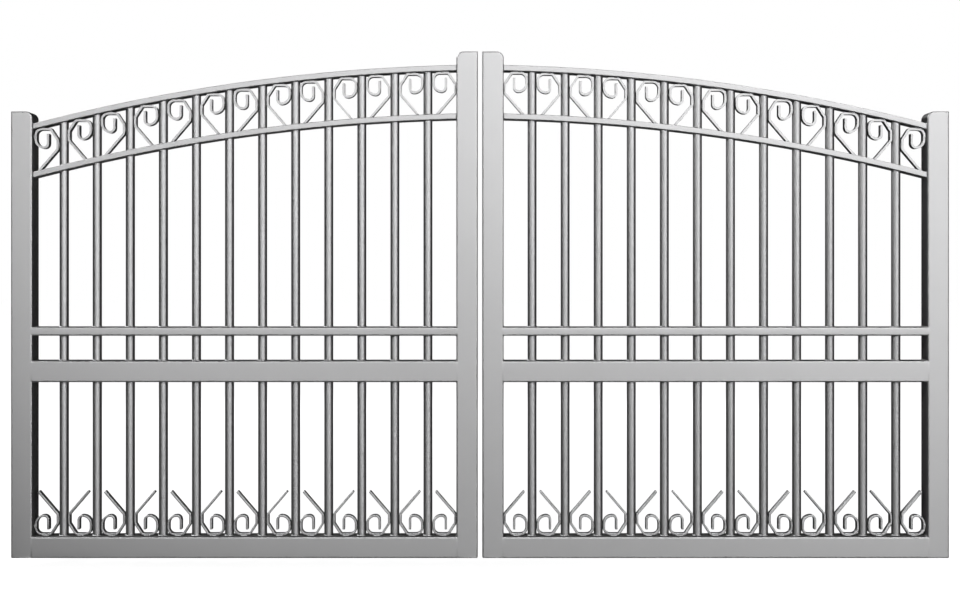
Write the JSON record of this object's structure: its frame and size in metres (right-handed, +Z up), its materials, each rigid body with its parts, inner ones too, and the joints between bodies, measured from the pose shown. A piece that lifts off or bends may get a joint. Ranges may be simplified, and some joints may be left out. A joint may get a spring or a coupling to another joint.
{
  "type": "aluminium double swing gate",
  "caption": "Arched aluminium driveway gate: mirrored swinging leaves of welded tube with round bars, flat-bar scrolls, lock rail and middle rail, on pin hinges that bolt to the piers.",
  "frame": {"origin": "middle of the outer face of the left leaf's lower wall plate, where it bolts to the side of the pier", "axes": "+X across the gate from the left pier to the right one, +Y from the front of the gate to its back, +Z up"},
  "size_m": [3.384, 0.174, 1.8],
  "materials": {
    "frame_tube": "satin silver-grey powder coat on extruded tube",
    "bars": "satin silver-grey powder coat on round tube",
    "scrolls": "satin silver-grey powder coat on flat bar",
    "hinge_steel": "dull galvanised steel"
  },
  "bodies": {
    "pier_hinges": {"left_lower_wall_bracket": "hinge_steel", "left_lower_hinge_pin": "hinge_steel", "left_upper_wall_bracket": "hinge_steel", "left_upper_hinge_pin": "hinge_steel", "right_lower_wall_bracket": "hinge_steel", "right_lower_hinge_pin": "hinge_steel", "right_upper_wall_bracket": "hinge_steel", "right_upper_hinge_pin": "hinge_steel"},
    "left_leaf": {"left_hinge_stile": "frame_tube", "left_meeting_stile": "frame_tube", "left_hinge_stile_cap": "frame_tube", "left_meeting_stile_cap": "frame_tube", "left_bottom_rail": "frame_tube", "left_lock_rail": "frame_tube", "left_mid_rail": "frame_tube", "left_lower_arch_rail": "frame_tube", "left_top_arch_rail": "frame_tube", "left_bars": "bars", "left_top_scrolls": "scrolls", "left_bottom_scrolls": "scrolls", "left_lower_hinge_strap": "hinge_steel", "left_upper_hinge_strap": "hinge_steel"},
    "right_leaf": {"right_hinge_stile": "frame_tube", "right_meeting_stile": "frame_tube", "right_hinge_stile_cap": "frame_tube", "right_meeting_stile_cap": "frame_tube", "right_bottom_rail": "frame_tube", "right_lock_rail": "frame_tube", "right_mid_rail": "frame_tube", "right_lower_arch_rail": "frame_tube", "right_top_arch_rail": "frame_tube", "right_bars": "bars", "right_top_scrolls": "scrolls", "right_bottom_scrolls": "scrolls", "right_lower_hinge_strap": "hinge_steel", "right_upper_hinge_strap": "hinge_steel"}
  },
  "joints": [
    {"name": "left_leaf_hinge", "type": "hinge", "parent": "pier_hinges", "child": "left_leaf", "pos_m": [0.032, -0.031, 0], "axis": [0, 0, 1], "range_deg": [0, 90]},
    {"name": "right_leaf_hinge", "type": "hinge", "parent": "pier_hinges", "child": "right_leaf", "pos_m": [3.352, -0.031, 0], "axis": [0, 0, -1], "range_deg": [0, 90]}
  ]
}
